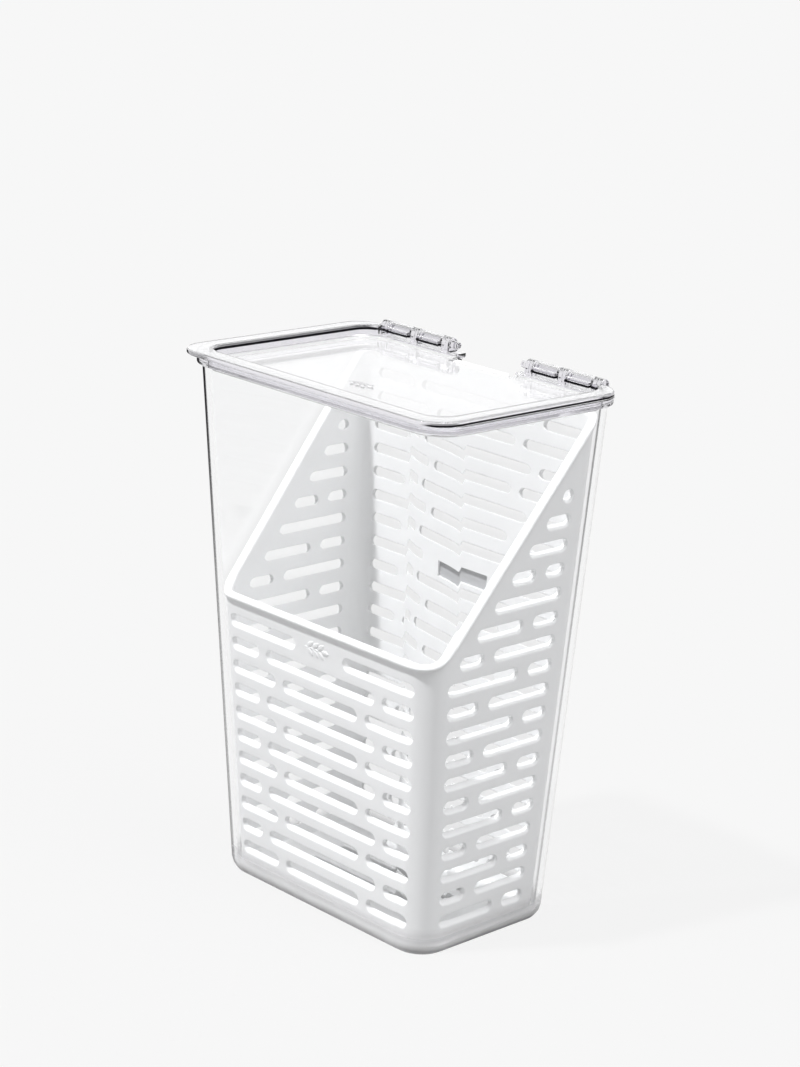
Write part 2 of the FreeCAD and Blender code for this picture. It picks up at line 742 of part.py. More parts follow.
pieces = [make_container(), make_basket(), make_lid()]
doc.recompute()
check(pieces)
for piece in pieces:
    solid = piece.Shape
    low = solid.BoundBox
    print(piece.Label, len(solid.Solids), "solids", round(solid.Volume / 1000, 1), "cm3",
          [round(v, 2) for v in (low.XMin, low.XMax, low.YMin, low.YMax, low.ZMin, low.ZMax)])
    solid.exportStep(f"parts/{piece.Label}.step")
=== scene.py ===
import math

import bmesh
import bpy
from mathutils import Matrix, Vector
from mathutils.geometry import tessellate_polygon


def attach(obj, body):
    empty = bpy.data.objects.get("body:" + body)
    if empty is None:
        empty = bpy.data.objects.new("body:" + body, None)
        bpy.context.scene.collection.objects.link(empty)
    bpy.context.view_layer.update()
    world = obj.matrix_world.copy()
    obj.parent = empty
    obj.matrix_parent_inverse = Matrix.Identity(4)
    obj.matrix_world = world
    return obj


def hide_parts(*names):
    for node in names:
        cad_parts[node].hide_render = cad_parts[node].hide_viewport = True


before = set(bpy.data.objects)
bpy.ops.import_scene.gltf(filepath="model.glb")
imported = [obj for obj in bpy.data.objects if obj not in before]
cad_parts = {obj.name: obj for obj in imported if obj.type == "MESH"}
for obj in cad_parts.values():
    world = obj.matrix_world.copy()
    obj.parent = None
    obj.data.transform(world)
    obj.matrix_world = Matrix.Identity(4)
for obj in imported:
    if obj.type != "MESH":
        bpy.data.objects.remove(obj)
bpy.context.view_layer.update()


# Container: one clear styrene moulding, a tapered box whose front leans out the most. Its rim is
# turned outwards, with a finger notch at the back and, beside it, two hinge bars held on lugs.
# Lengths here and below are in millimetres, and MM turns them into metres.

MM = 0.001
WALL_TOP = 211.0
BASE_HALF, RIM_HALF = 57.25, 67.3
BASE_FRONT, RIM_FRONT = 29.0, 47.2
BASE_BACK, RIM_BACK = 45.5, 49.5
WALL_CORNER = 14.0
CONTAINER_WALL = 2.2
FLOOR_TOP = 2.4
BASE_ROUND = 6.0
FLOOR_ROUND = 4.2
RIM_LOW = 207.8
RIM_OVERHANG = 2.0
RIM_ROUND = 0.5
NOTCH_HALF = 16.5
NOTCH_FLOOR = 205.0
AXIS_BACK, AXIS_HEIGHT = 48.0, 212.6
BAR_ENDS = (17.0, 58.6)
BAR_RADIUS, BAR_EDGE = 1.5, 0.3
BARREL_RADIUS = 2.69
LUG_STARTS = (20.2, 37.3, 54.4)
LUG_WIDTH, LUG_EDGE = 4.2, 0.35
LUG_CLEARANCE = 0.4
LUG_FOOT = 208.8
CUT_REACH, CUT_TOP = 8.0, 220.0
CORNER_STEPS = 12


def half_width(height):
    """Half the container's width at a height, outside."""
    return BASE_HALF + (RIM_HALF - BASE_HALF) * height / WALL_TOP


def front_reach(height):
    return BASE_FRONT + (RIM_FRONT - BASE_FRONT) * height / WALL_TOP


def back_reach(height):
    return BASE_BACK + (RIM_BACK - BASE_BACK) * height / WALL_TOP


def round_outline(half, front, back, front_corner, back_corner, height):
    """A level rectangle with round corners, counted anticlockwise from the front right corner."""
    outline = []
    corners = ((1, -front, front_corner, -90), (1, back, back_corner, 0),
               (-1, back, back_corner, 90), (-1, -front, front_corner, 180))
    for side, end, corner, first in corners:
        middle_x = side * (half - corner)
        middle_y = end - math.copysign(corner, end)
        for step in range(CORNER_STEPS + 1):
            turn = math.radians(first + 90 * step / CORNER_STEPS)
            outline.append(Vector((middle_x + corner * math.cos(turn),
                                   middle_y + corner * math.sin(turn), height)))
    return outline


def wall_outline(height, inset):
    """The leaning walls' outline at a height, moved inwards all round by inset."""
    corner = WALL_CORNER - inset
    return round_outline(half_width(height) - inset, front_reach(height) - inset,
                         back_reach(height) - inset, corner, corner, height)


def skin(rings):
    """A closed mesh stretched over a row of outlines, with flat ends."""
    mesh = bmesh.new()
    loops = [[mesh.verts.new(point * MM) for point in ring] for ring in rings]
    for lower, upper in zip(loops, loops[1:]):
        for index in range(len(lower)):
            following = (index + 1) % len(lower)
            mesh.faces.new((lower[index], lower[following], upper[following], upper[index]))
    mesh.faces.new(list(reversed(loops[0])))
    mesh.faces.new(loops[-1])
    bmesh.ops.recalc_face_normals(mesh, faces=mesh.faces)
    return mesh


def piece_from(mesh, name):
    """A Blender object of that name made from a bmesh, which it uses up."""
    data = bpy.data.meshes.new(name)
    mesh.to_mesh(data)
    mesh.free()
    piece = bpy.data.objects.new(name, data)
    bpy.context.scene.collection.objects.link(piece)
    return piece


def apply_modifiers(piece):
    bpy.context.view_layer.update()
    shaped = piece.evaluated_get(bpy.context.evaluated_depsgraph_get())
    made = bpy.data.meshes.new_from_object(shaped)
    piece.modifiers.clear()
    piece.data = made
    return piece


def carve(piece, tools, operation="DIFFERENCE"):
    """Cut the tools away from a piece, or join them to it, one after another."""
    for tool in tools:
        change = piece.modifiers.new("carve", "BOOLEAN")
        change.operation = operation
        change.solver = "EXACT"
        change.object = tool
        apply_modifiers(piece)
        bpy.data.objects.remove(tool)
    return piece


def soft_shading(piece, sharp_angle=40):
    """Smooth shading that keeps flat faces flat and edges over the angle sharp."""
    for face in piece.data.polygons:
        face.use_smooth = True
    piece.data.set_sharp_from_angle(angle=math.radians(sharp_angle))
    weights = piece.modifiers.new("face weights", "WEIGHTED_NORMAL")
    weights.keep_sharp = True
    weights.weight = 100
    return apply_modifiers(piece)


def block(name, low, high):
    """A plain block between two corners."""
    mesh = bmesh.new()
    bmesh.ops.create_cube(mesh, size=1)
    low, high = Vector(low), Vector(high)
    for vert in mesh.verts:
        share = vert.co + Vector((0.5, 0.5, 0.5))
        vert.co = (low + (high - low) * share) * MM
    return piece_from(mesh, name)


def cross_bar(name, outline, start, end, edge):
    """A bar along X whose section is outline(shrink), with its two end edges rounded off."""
    rings = []
    for across, shrink in ((start, edge), (start + edge, 0), (end - edge, 0), (end, edge)):
        rings.append([Vector((across, back, height)) for back, height in outline(shrink)])
    return piece_from(skin(rings), name)


def round_section(radius, steps=20):
    def outline(shrink):
        turns = [2 * math.pi * step / steps for step in range(steps)]
        return [(AXIS_BACK + (radius - shrink) * math.cos(turn),
                 AXIS_HEIGHT + (radius - shrink) * math.sin(turn)) for turn in turns]
    return outline


def lug_section(shrink, steps=12):
    """A lug is round over the bar and goes straight down into the rim."""
    radius = BARREL_RADIUS - shrink
    arch = [(AXIS_BACK + radius * math.cos(math.pi * step / steps),
             AXIS_HEIGHT + radius * math.sin(math.pi * step / steps)) for step in range(steps + 1)]
    return arch + [(AXIS_BACK - radius, LUG_FOOT), (AXIS_BACK + radius, LUG_FOOT)]


def both_sides(start, end):
    """A stretch along X on the right, and its mirror image on the left."""
    return ((start, end), (-end, -start))


def quarter(radius, steps=4):
    """Sine and cosine offsets of a quarter round, from its flat start to its end."""
    turns = [math.pi / 2 * step / steps for step in range(steps + 1)]
    return [(radius * (1 - math.cos(turn)), radius * (1 - math.sin(turn))) for turn in turns]


rings = [wall_outline(rise, inset) for rise, inset in quarter(BASE_ROUND)]
rings.append(wall_outline(RIM_LOW - RIM_ROUND, 0))
rings += [wall_outline(RIM_LOW - RIM_ROUND + out, -out) for out in (RIM_ROUND * 0.6, RIM_ROUND)]
rings += [wall_outline(RIM_LOW + rise, inset - RIM_OVERHANG)
          for rise, inset in quarter(RIM_ROUND, 3)]
rings += [wall_outline(WALL_TOP - drop, inset - RIM_OVERHANG)
          for inset, drop in quarter(RIM_ROUND, 3)]
rings += [wall_outline(WALL_TOP - drop, CONTAINER_WALL - inset)
          for drop, inset in quarter(RIM_ROUND, 3)]
rings += [wall_outline(FLOOR_TOP + rise, CONTAINER_WALL + inset)
          for inset, rise in quarter(FLOOR_ROUND)]
container = piece_from(skin(rings), "container_shell")
zone_ends = (NOTCH_HALF - LUG_CLEARANCE, BAR_ENDS[1] + LUG_CLEARANCE)
zone_reach = BARREL_RADIUS + LUG_CLEARANCE
cutters = [block("notch", (-NOTCH_HALF, AXIS_BACK - CUT_REACH, NOTCH_FLOOR),
                 (NOTCH_HALF, AXIS_BACK + CUT_REACH, CUT_TOP))]
for start, end in both_sides(*zone_ends):
    cutters.append(block("hinge_zone", (start, AXIS_BACK - zone_reach, AXIS_HEIGHT - zone_reach),
                         (end, AXIS_BACK + CUT_REACH, CUT_TOP)))
carve(container, cutters)
joined = []
for start, end in both_sides(*BAR_ENDS):
    joined.append(cross_bar("bar", round_section(BAR_RADIUS), start, end, BAR_EDGE))
for lug_start in LUG_STARTS:
    for start, end in both_sides(lug_start, lug_start + LUG_WIDTH):
        joined.append(cross_bar("lug", lug_section, start, end, LUG_EDGE))
carve(container, joined, "UNION")
soft_shading(container)


def node(tree, kind, **settings):
    """A shader node whose sockets are set or linked by name."""
    made = tree.nodes.new(kind)
    for name, value in settings.items():
        name = name.replace("_", " ")
        if isinstance(value, bpy.types.NodeSocket):
            tree.links.new(value, made.inputs[name])
        else:
            made.inputs[name].default_value = value
    return made


def new_material(name):
    material = bpy.data.materials.new(name)
    material.use_nodes = True
    material.node_tree.nodes.clear()
    return material, material.node_tree


def ranged(tree, value, start, end):
    """0 up to the start of a range of values and 1 from its end on; it may also run downwards."""
    made = node(tree, "ShaderNodeMapRange", Value=value)
    made.interpolation_type = "SMOOTHSTEP"
    made.inputs["From Min"].default_value = start
    made.inputs["From Max"].default_value = end
    return made.outputs["Result"]


def calculated(tree, operation, first, second=0.0):
    """One step of arithmetic on sockets or numbers."""
    made = tree.nodes.new("ShaderNodeMath")
    made.operation = operation
    for socket, value in zip(made.inputs, (first, second)):
        if isinstance(value, bpy.types.NodeSocket):
            tree.links.new(value, socket)
        else:
            socket.default_value = value
    return made.outputs[0]


def product(tree, first, second):
    return calculated(tree, "MULTIPLY", first, second)


def larger(tree, first, second):
    return calculated(tree, "MAXIMUM", first, second)


def mixed_colour(tree, share, first, second):
    """A blend of two colours, each given as red, green and blue or as a socket."""
    made = tree.nodes.new("ShaderNodeMix")
    made.data_type = "RGBA"
    tree.links.new(share, made.inputs["Factor"])
    for socket, value in ((made.inputs[6], first), (made.inputs[7], second)):
        if isinstance(value, bpy.types.NodeSocket):
            tree.links.new(value, socket)
        else:
            socket.default_value = (*value, 1)
    return made.outputs[2]


def mixed_shader(tree, share, first, second):
    made = tree.nodes.new("ShaderNodeMixShader")
    for socket, value in zip(made.inputs, (share, first, second)):
        tree.links.new(value, socket)
    return made.outputs[0]


# Colours and finish of the clear plastic. Where a look sets in, a pair of numbers is the range over
# which it does: FADES and EDGE in millimetres, FACE in a part of a face's direction, from -1 to 1.

CLEAR_TINT = (0.978, 0.98, 0.983)
THICK_EDGE, EDGE_BLEND = (0.79, 0.775, 0.82), 0.3
BACK_TINT, BACK_EDGE, BACK_FADES = (0.935, 0.935, 0.938), (42.8, 43.2), (206.0, 200.0)
FOOT_TINT, FOOT_WHITE, FOOT_VEIL = (0.86, 0.855, 0.87), (0.88, 0.88, 0.885), 0.5
FOOT_FADES = (13.0, 13.0 / 3)
# Painted sheen: the white and the rim's share on this line are a white diffuse share on faces that look
# up, which stands in for the light that the clear tops reflect.
TOP_SHEEN_WHITE, RIM_TOP_SHEEN, LEVEL_FACE = (0.64, 0.64, 0.645), 0.5, (0.9, 0.98)
# Painted dark lines: the near-black on this line draws a dark reflection down the front left corner,
# shade under the foot's round and a shadow in the lid's seam; the other colour is the lamplight that
# the plastic lets through.
PAINTED_DARK_LINES, SHADOW_TINT = (0.012, 0.011, 0.014), (0.97, 0.97, 0.975)
# Where the painted dark reflection down the front left corner lies, how edge-on the corner must be
# seen, and how it weakens lower down.
CORNER_FACE, WALL_FACE, SEEN_EDGE_ON = (-0.9, -1.2), (0.55, 0.8), (0.62, 0.72)
CORNER_FADES, CORNER_LOSS = (210.0, 80.0), 0.5
# Painted shade under the foot's round, deeper on its right side.
UNDER_FACE, UNDER_PAINTED_SHADE = (-0.25, -0.6), 0.3
UNDER_RIGHT_FACE, UNDER_RIGHT_PAINTED_SHADE = (0.1, 0.5), 0.15
# Painted shadow in the lid's seam: its blend and the faces at its sides, across it and at the notch.
SEAM_BLEND, SIDE_FACE, CROSS_FACE, NOTCH_EDGE = 0.05, (0.3, 0.6), (0.9, 0.98), (40.5, 41.2)
REFRACTION = 1.52
WALL_RIPPLES, RIPPLE_STRENGTH, RIPPLE_DEPTH, RIPPLE_GAIN = 22, 0.12, 0.4, 1.02
HAZE_FINER, HAZE_ROUGHNESS = 6, 0.03


def in_metres(pair):
    return [length * MM for length in pair]


def clear_plastic(name, tint, ripple_scale, edge_low, top_sheen, seam=None):
    """Polished clear styrene: faint flow ripples from the mould, and lamps shine through it.

    Its upright faces above edge_low are the ends of thick edges, which look violet grey, and the
    back wall is a little greyer than the others. The thick foot is grey and slightly clouded white.
    Faces that look up get a painted sheen: a white diffuse share, as large as the caller asks,
    stands in for the light that the clear tops reflect. Dark lines are painted on: a painted dark
    reflection down the front left corner, where it is seen edge-on, painted shade under the foot's
    round, deeper on its right, and a painted shadow along both sides and the notch of a seam."""
    material, tree = new_material(name)
    place = tree.nodes.new("ShaderNodeTexCoord")
    ripples = node(tree, "ShaderNodeTexNoise", Vector=place.outputs["Object"], Scale=ripple_scale,
                   Detail=2.0)
    haze = node(tree, "ShaderNodeTexNoise", Vector=place.outputs["Object"],
                Scale=ripple_scale * HAZE_FINER, Detail=3.0)
    gloss = node(tree, "ShaderNodeMapRange", Value=haze.outputs["Fac"])
    gloss.inputs["To Min"].default_value = 0.0
    gloss.inputs["To Max"].default_value = HAZE_ROUGHNESS
    relief = node(tree, "ShaderNodeBump", Height=ripples.outputs["Fac"], Strength=RIPPLE_STRENGTH,
                  Distance=RIPPLE_DEPTH * MM)
    position = node(tree, "ShaderNodeSeparateXYZ", Vector=place.outputs["Object"]).outputs
    height = position["Z"]
    facing = node(tree, "ShaderNodeSeparateXYZ", Vector=place.outputs["Normal"]).outputs
    upright = calculated(tree, "SUBTRACT", 1.0, calculated(tree, "ABSOLUTE", facing["Z"]))

    lighter = [min(channel * RIPPLE_GAIN, 1) for channel in tint]
    colour = mixed_colour(tree, ripples.outputs["Fac"], tint, lighter)
    above = ranged(tree, height, *in_metres((edge_low - EDGE_BLEND, edge_low)))
    colour = mixed_colour(tree, product(tree, upright, above), colour, THICK_EDGE)
    back = product(tree, ranged(tree, position["Y"], *in_metres(BACK_EDGE)),
                   ranged(tree, height, *in_metres(BACK_FADES)))
    colour = mixed_colour(tree, back, colour, BACK_TINT)
    foot = ranged(tree, height, *in_metres(FOOT_FADES))
    colour = mixed_colour(tree, foot, colour, FOOT_TINT)
    surface = node(tree, "ShaderNodeBsdfPrincipled", Base_Color=colour, IOR=REFRACTION,
                   Roughness=gloss.outputs["Result"], Transmission_Weight=1.0,
                   Normal=relief.outputs["Normal"])
    milk_and_sheen_white = node(tree, "ShaderNodeBsdfDiffuse",
                 Color=mixed_colour(tree, foot, TOP_SHEEN_WHITE, FOOT_WHITE))
    # Painted sheen: faces that look up take a white diffuse share that stands in for the light that the
    # clear tops reflect; the foot's share is its own clouded white.
    level = product(tree, ranged(tree, facing["Z"], *LEVEL_FACE), top_sheen)
    milk_and_sheen_share = larger(tree, level, product(tree, foot, FOOT_VEIL))
    surface = mixed_shader(tree, milk_and_sheen_share, surface.outputs[0], milk_and_sheen_white.outputs[0])

    # Painted dark reflection: a near-black share down the front left corner where it is seen edge-on,
    # weaker lower down.
    slant = node(tree, "ShaderNodeLayerWeight", Blend=0.5).outputs["Facing"]
    to_the_corner = calculated(tree, "ADD", facing["X"], facing["Y"])
    corner = product(tree, ranged(tree, to_the_corner, *CORNER_FACE),
                     ranged(tree, upright, *WALL_FACE))
    loss = product(tree, ranged(tree, height, *in_metres(CORNER_FADES)), CORNER_LOSS)
    corner = product(tree, corner, calculated(tree, "SUBTRACT", 1.0, loss))
    dark = product(tree, ranged(tree, slant, *SEEN_EDGE_ON), corner)
    # Painted shade under the foot's round, deeper where it faces right.
    rightwards = product(tree, ranged(tree, facing["X"], *UNDER_RIGHT_FACE), UNDER_RIGHT_PAINTED_SHADE)
    under = product(tree, calculated(tree, "ADD", UNDER_PAINTED_SHADE, rightwards),
                    ranged(tree, facing["Z"], *UNDER_FACE))
    dark = larger(tree, dark, product(tree, under, foot))
    # Painted shadow in the seam under the lid: its lowest edge darkens on both sides and at the notch.
    if seam:
        low, high = seam
        inside = product(
            tree, ranged(tree, height, *in_metres((low - SEAM_BLEND, low))),
            ranged(tree, height, *in_metres((high + 2 * SEAM_BLEND, high))))
        side = ranged(tree, calculated(tree, "ABSOLUTE", facing["X"]), *SIDE_FACE)
        across = ranged(tree, calculated(tree, "ABSOLUTE", facing["Y"]), *CROSS_FACE)
        notch = product(tree, across, ranged(tree, position["Y"], *in_metres(NOTCH_EDGE)))
        dark = larger(tree, dark, product(tree, inside, larger(tree, side, notch)))
    # The painted dark reflection, shade and shadow are a near-black diffuse mixed over the plastic.
    shade = node(tree, "ShaderNodeBsdfDiffuse", Color=(*PAINTED_DARK_LINES, 1))
    seen = mixed_shader(tree, dark, surface, shade.outputs[0])
    through = node(tree, "ShaderNodeBsdfTransparent", Color=(*SHADOW_TINT, 1))
    path = tree.nodes.new("ShaderNodeLightPath")
    passes = larger(tree, path.outputs["Is Shadow Ray"], path.outputs["Is Diffuse Ray"])
    output = tree.nodes.new("ShaderNodeOutputMaterial")
    tree.links.new(mixed_shader(tree, passes, seen, through.outputs[0]), output.inputs["Surface"])
    return material


container.data.materials.clear()
# The container's faces that look up get the rim's share of painted sheen.
container.data.materials.append(
    clear_plastic("clear_container_plastic", CLEAR_TINT, WALL_RIPPLES, RIM_LOW, RIM_TOP_SHEEN))
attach(container, "keeper")
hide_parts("container")


# Basket: one moulding of white plastic that stands in the container on two low ribs, with rows of
# staggered slots in its four walls and drain slots in its floor. Its mouth is low in front, slopes
# up along the sides and is high at the back, and a flange runs all along it.

INSET = 5.0
WALL = 2.4
CORNER = 9.0
BOTTOM, BASKET_FLOOR = 3.4, 5.8
WALL_START = 8.6
OUTER_ROUND, INNER_ROUND = 3.0, 0.6
FRONT_HEIGHT, BACK_HEIGHT = 118.5, 203.0
SLOPE_START, SLOPE_END = -30.0, 38.4
SLOPE_BLEND = 9.0
BAND_THICKNESS, BAND_OVERHANG, BAND_ROUND, BAND_STEPS = 2.2, 1.6, 1.05, 4
WALL_DROP = 1.1
SLOPE_ANGLE = math.atan2(BACK_HEIGHT - FRONT_HEIGHT, SLOPE_END - SLOPE_START)
SIDE_STOPS = (0.02, 0.05, 0.09, 0.13, 0.5, 0.86, 0.9, 0.94, 0.98)
ARC_STEPS = 5
EDGE_TRIES = 6


class Wall:
    """One basket wall, laid out flat: u runs along it, half of each corner included."""

    def __init__(self, plane, low, high, along, outward):
        self.plane = plane
        self.low = low
        self.high = high
        self.along = Vector(along)
        self.outward = Vector(outward)

    def turn(self, u, height):
        """How far round the corner a place lies: 0 on the flat part, an angle in a corner."""
        if u < self.low(height):
            return (u - self.low(height)) / CORNER
        if u > self.high(height):
            return (u - self.high(height)) / CORNER
        return 0.0

    def place(self, u, height, depth):
        """The point at a depth behind the wall's outer face."""
        turn = self.turn(u, height)
        centre = self.low(height) if turn < 0 else self.high(height)
        reach = u if turn == 0 else centre + (CORNER - depth) * math.sin(turn)
        out = self.plane(height) - CORNER + (CORNER - depth) * math.cos(turn)
        return self.along * reach + self.outward * out + Vector((0, 0, height))

    def normal(self, u, height):
        turn = self.turn(u, height)
        return self.outward * math.cos(turn) + self.along * math.sin(turn)

    def stops(self, height):
        """Places along the wall where its outline needs a point, from corner to corner."""
        arc = [CORNER * math.pi / 4 * step / ARC_STEPS for step in range(ARC_STEPS, 0, -1)]
        return ([self.low(height) - reach for reach in arc] + [self.low(height), self.high(height)]
                + [self.high(height) + reach for reach in reversed(arc)])


def side_end(height):
    return half_width(height) - INSET - CORNER


def front_end(height):
    return INSET + CORNER - front_reach(height)


def back_end(height):
    return back_reach(height) - INSET - CORNER


WALLS = {
    "front": Wall(lambda z: front_reach(z) - INSET, lambda z: -side_end(z), side_end,
                  (1, 0, 0), (0, -1, 0)),
    "right": Wall(lambda z: half_width(z) - INSET, front_end, back_end, (0, 1, 0), (1, 0, 0)),
    "back": Wall(lambda z: back_reach(z) - INSET, lambda z: -side_end(z), side_end,
                 (-1, 0, 0), (0, 1, 0)),
    "left": Wall(lambda z: half_width(z) - INSET, lambda z: -back_end(z), lambda z: -front_end(z),
                 (0, -1, 0), (-1, 0, 0)),
}


def mouth_height(back, drop):
    """Height of the mouth's edge at a place from front to back, moved square to itself by drop."""
    blend = SLOPE_BLEND * math.tan(SLOPE_ANGLE / 2)
    low_middle = Vector((SLOPE_START - blend, FRONT_HEIGHT + SLOPE_BLEND))
    high_middle = Vector((SLOPE_END + blend, BACK_HEIGHT - SLOPE_BLEND))
    low_radius, high_radius = SLOPE_BLEND + drop, SLOPE_BLEND - drop
    if back <= low_middle.x:
        return FRONT_HEIGHT - drop
    if back < low_middle.x + low_radius * math.sin(SLOPE_ANGLE):
        return low_middle.y - math.sqrt(low_radius ** 2 - (back - low_middle.x) ** 2)
    if back < high_middle.x - high_radius * math.sin(SLOPE_ANGLE):
        rise = (back - SLOPE_START) * math.tan(SLOPE_ANGLE)
        return FRONT_HEIGHT + rise - drop / math.cos(SLOPE_ANGLE)
    if back < high_middle.x:
        return high_middle.y + math.sqrt(high_radius ** 2 - (high_middle.x - back) ** 2)
    return BACK_HEIGHT - drop


def edge_place(wall, stop, drop):
    """Height of the mouth above one place of a wall; stop(height) gives the place at a height."""
    height = FRONT_HEIGHT
    for _ in range(EDGE_TRIES):
        height = mouth_height(wall.place(stop(height), height, 0).y, drop)
    return stop(height), height


def mouth_stops(wall):
    """Places along a wall at which its upper edge has a point, each as a function of height."""
    count = len(wall.stops(0))
    half = count // 2
    stops = [lambda z, index=index: wall.stops(z)[index] for index in range(half)]
    if abs(wall.outward.x) > 0.5:
        for share in SIDE_STOPS:
            part = share if wall.along.y > 0 else 1 - share
            stops.append(lambda z, part=part: wall.low(z) + (wall.high(z) - wall.low(z)) * part)
    middle = stops[half:]
    if wall.along.y < 0:
        middle.reverse()
    ends = [lambda z, index=index: wall.stops(z)[index] for index in range(half, count)]
    return stops[:half] + middle + ends


# Slots go round all four walls in rows at the same heights. Each stands on a flat ledge that
# slopes outwards, so that water runs out, and all edges are rounded a little.

SLOT_HEIGHT = 6.1
ROW_PITCH, FIRST_ROW = 9.5, 12.6
FRONT_WEB, INNER_WEB, OUTER_WEB = 3.5, 22.7, 32.0
FRONT_END_MARGIN = 6.7
SPRIG_GAP = 25.4
SIDE_WEB, BACK_SIDE_WEB, FRONT_SIDE_WEB = 4.6, 15.1, -4.5
SIDE_FRONT_MARGIN, SIDE_BACK_MARGIN = 9.4, 11.4
SHORTEST_SLOT = 13.2
ROUND_SLOT, LEAST_SLOT = 6.4, 5.0
SLOPE_MARGIN, TOP_MARGIN = 8.6, 5.0
LEDGE_DROP = 1.6
SLOT_EDGE = 0.45
END_STEPS = 10
FLAT_WELD, FLAT_HAIR = 1e-4, 1e-5
WINDOW_HALF, WINDOW_HEIGHT, WINDOW_DEPTH, WINDOW_DROP = 12.2, 6.4, 1.5, 1.4


def row_count(highest):
    return int((highest - FIRST_ROW) / ROW_PITCH) + 1


def split_row(first, second, webs, web_width):
    slots = []
    start = first
    for web in sorted(webs):
        slots.append((start, web - web_width / 2))
        start = web + web_width / 2
    slots.append((start, second))
    return [(low, high) for low, high in slots if high - low > SLOT_HEIGHT]


def cross_wall_rows(name):
    """Slots of the front or back wall as (start, end, height)."""
    slots = []
    if name == "front":
        top = FRONT_HEIGHT - TOP_MARGIN
    else:
        top = BACK_HEIGHT - BAND_THICKNESS - TOP_MARGIN
    window_row = row_count(FRONT_HEIGHT)
    rows = row_count(top)
    for number in range(rows):
        height = FIRST_ROW + ROW_PITCH * number
        end = half_width(height) - INSET - FRONT_END_MARGIN
        web = OUTER_WEB if number % 2 else INNER_WEB
        stretches = split_row(-end, end, (-web, web), FRONT_WEB)
        if name == "front" and number == rows - 1:
            stretches = [(-end, -SPRIG_GAP / 2), (SPRIG_GAP / 2, end)]
        if name == "back" and number == window_row:
            stretches = [stretches[0], stretches[-1]]
        slots += [(low, high, height) for low, high in stretches]
    return slots


def side_wall_rows(name):
    """Slots of a side wall, cut short where the slope comes down; the left wall is the mirror image."""
    slots = []
    for number in range(row_count(BACK_HEIGHT - TOP_MARGIN)):
        height = FIRST_ROW + ROW_PITCH * number
        steep = math.tan(SLOPE_ANGLE)
        drop = BAND_THICKNESS / math.cos(SLOPE_ANGLE)
        slope = SLOPE_START + (height - FRONT_HEIGHT + drop) / steep
        first = max(SIDE_FRONT_MARGIN + INSET - front_reach(height), slope + SLOPE_MARGIN)
        last = back_reach(height) - INSET - SIDE_BACK_MARGIN
        web = FRONT_SIDE_WEB if number % 2 else BACK_SIDE_WEB
        if first < web - SIDE_WEB / 2:
            web = max(web, first + SHORTEST_SLOT + SIDE_WEB / 2)
        if web - SIDE_WEB / 2 <= first or web + SIDE_WEB / 2 + SHORTEST_SLOT / 2 > last:
            stretches = [(min(first, last - ROUND_SLOT), last)] if last - first > LEAST_SLOT else []
        else:
            stretches = split_row(first, last, (web,), SIDE_WEB)
        slots += [(low, high, height) for low, high in stretches]
    if name == "left":
        slots = [(-high, -low, height) for low, high, height in slots]
    return slots


def slot_outline(slot, height=SLOT_HEIGHT):
    """Points of a slot's outline, each with the direction out of the slot."""
    low, high, middle = slot
    radius = height / 2
    outline = []
    for centre, first in ((high - radius, -90), (low + radius, 90)):
        for step in range(END_STEPS + 1):
            turn = math.radians(first + 180 * step / END_STEPS)
            away = Vector((math.cos(turn), math.sin(turn)))
            outline.append((Vector((centre, middle)) + away * radius, away))
    return outline


def slot_rings(slot, height, ledge_drop):
    """The slot's surface as rings of (u, height, depth), from the outer face to the inner one."""
    rings = []
    outline = slot_outline(slot, height)
    stops = [(SLOT_EDGE * (1 - math.cos(turn)), SLOT_EDGE * math.sin(turn))
             for turn in (0, math.pi / 6, math.pi / 3, math.pi / 2)]
    stops += [(WALL - depth, inset) for depth, inset in reversed(stops)]
    for depth, inset in stops:
        ring = []
        for point, away in outline:
            rise = ledge_drop * depth / WALL * max(0, -away.y)
            moved = point - away * (inset + rise)
            ring.append((moved.x, moved.y, depth))
        rings.append(ring)
    return rings


def slotted_sheet(mesh, outer, inner, slots, height, ledge_drop, window=None):
    """Both faces of a sheet with its slots, laid out flat as (u, height, depth).

    A window is an outline that is sunk into the inner face, with a floor that takes the second
    material, a mid grey."""
    all_rings = [slot_rings(slot, height, ledge_drop) for slot in slots]
    for outline, pick, depth in ((outer, 0, 0), (inner, -1, WALL)):
        loops = [[(u, v, depth) for u, v in outline]] + [rings[pick] for rings in all_rings]
        if window and depth:
            loops.append([(u, v, depth) for u, v in window])
        verts = [mesh.verts.new(point) for loop in loops for point in loop]
        flat = [[Vector((u, v, 0)) for u, v, _ in loop] for loop in loops]
        for corners in tessellate_polygon(flat):
            if len(set(corners)) == 3:
                mesh.faces.new([verts[corner] for corner in corners])
    if window:
        sunk = [(u, v, WALL - WINDOW_DEPTH) for u, v in window]
        all_rings.append([sunk, [(u, v, WALL) for u, v in window]])
        mesh.faces.new([mesh.verts.new(point) for point in sunk]).material_index = 1
    for rings in all_rings:
        loops = [[mesh.verts.new(point) for point in ring] for ring in rings]
        for first, second in zip(loops, loops[1:]):
            for index in range(len(first)):
                following = (index + 1) % len(first)
                mesh.faces.new((first[index], first[following], second[following], second[index]))


def slice_corners(mesh, wall):
    """Cut a flat wall along the lines where its corners begin and turn, so that they can bend."""
    base = WALL_START
    for index in range(1, len(wall.stops(base)) - 1):
        start = Vector((wall.stops(base)[index], base, 0))
        end = Vector((wall.stops(BACK_HEIGHT)[index], BACK_HEIGHT, 0))
        across = (end - start).cross(Vector((0, 0, 1)))
        bmesh.ops.bisect_plane(mesh, geom=mesh.verts[:] + mesh.edges[:] + mesh.faces[:],
                               plane_co=start, plane_no=across, dist=FLAT_HAIR)


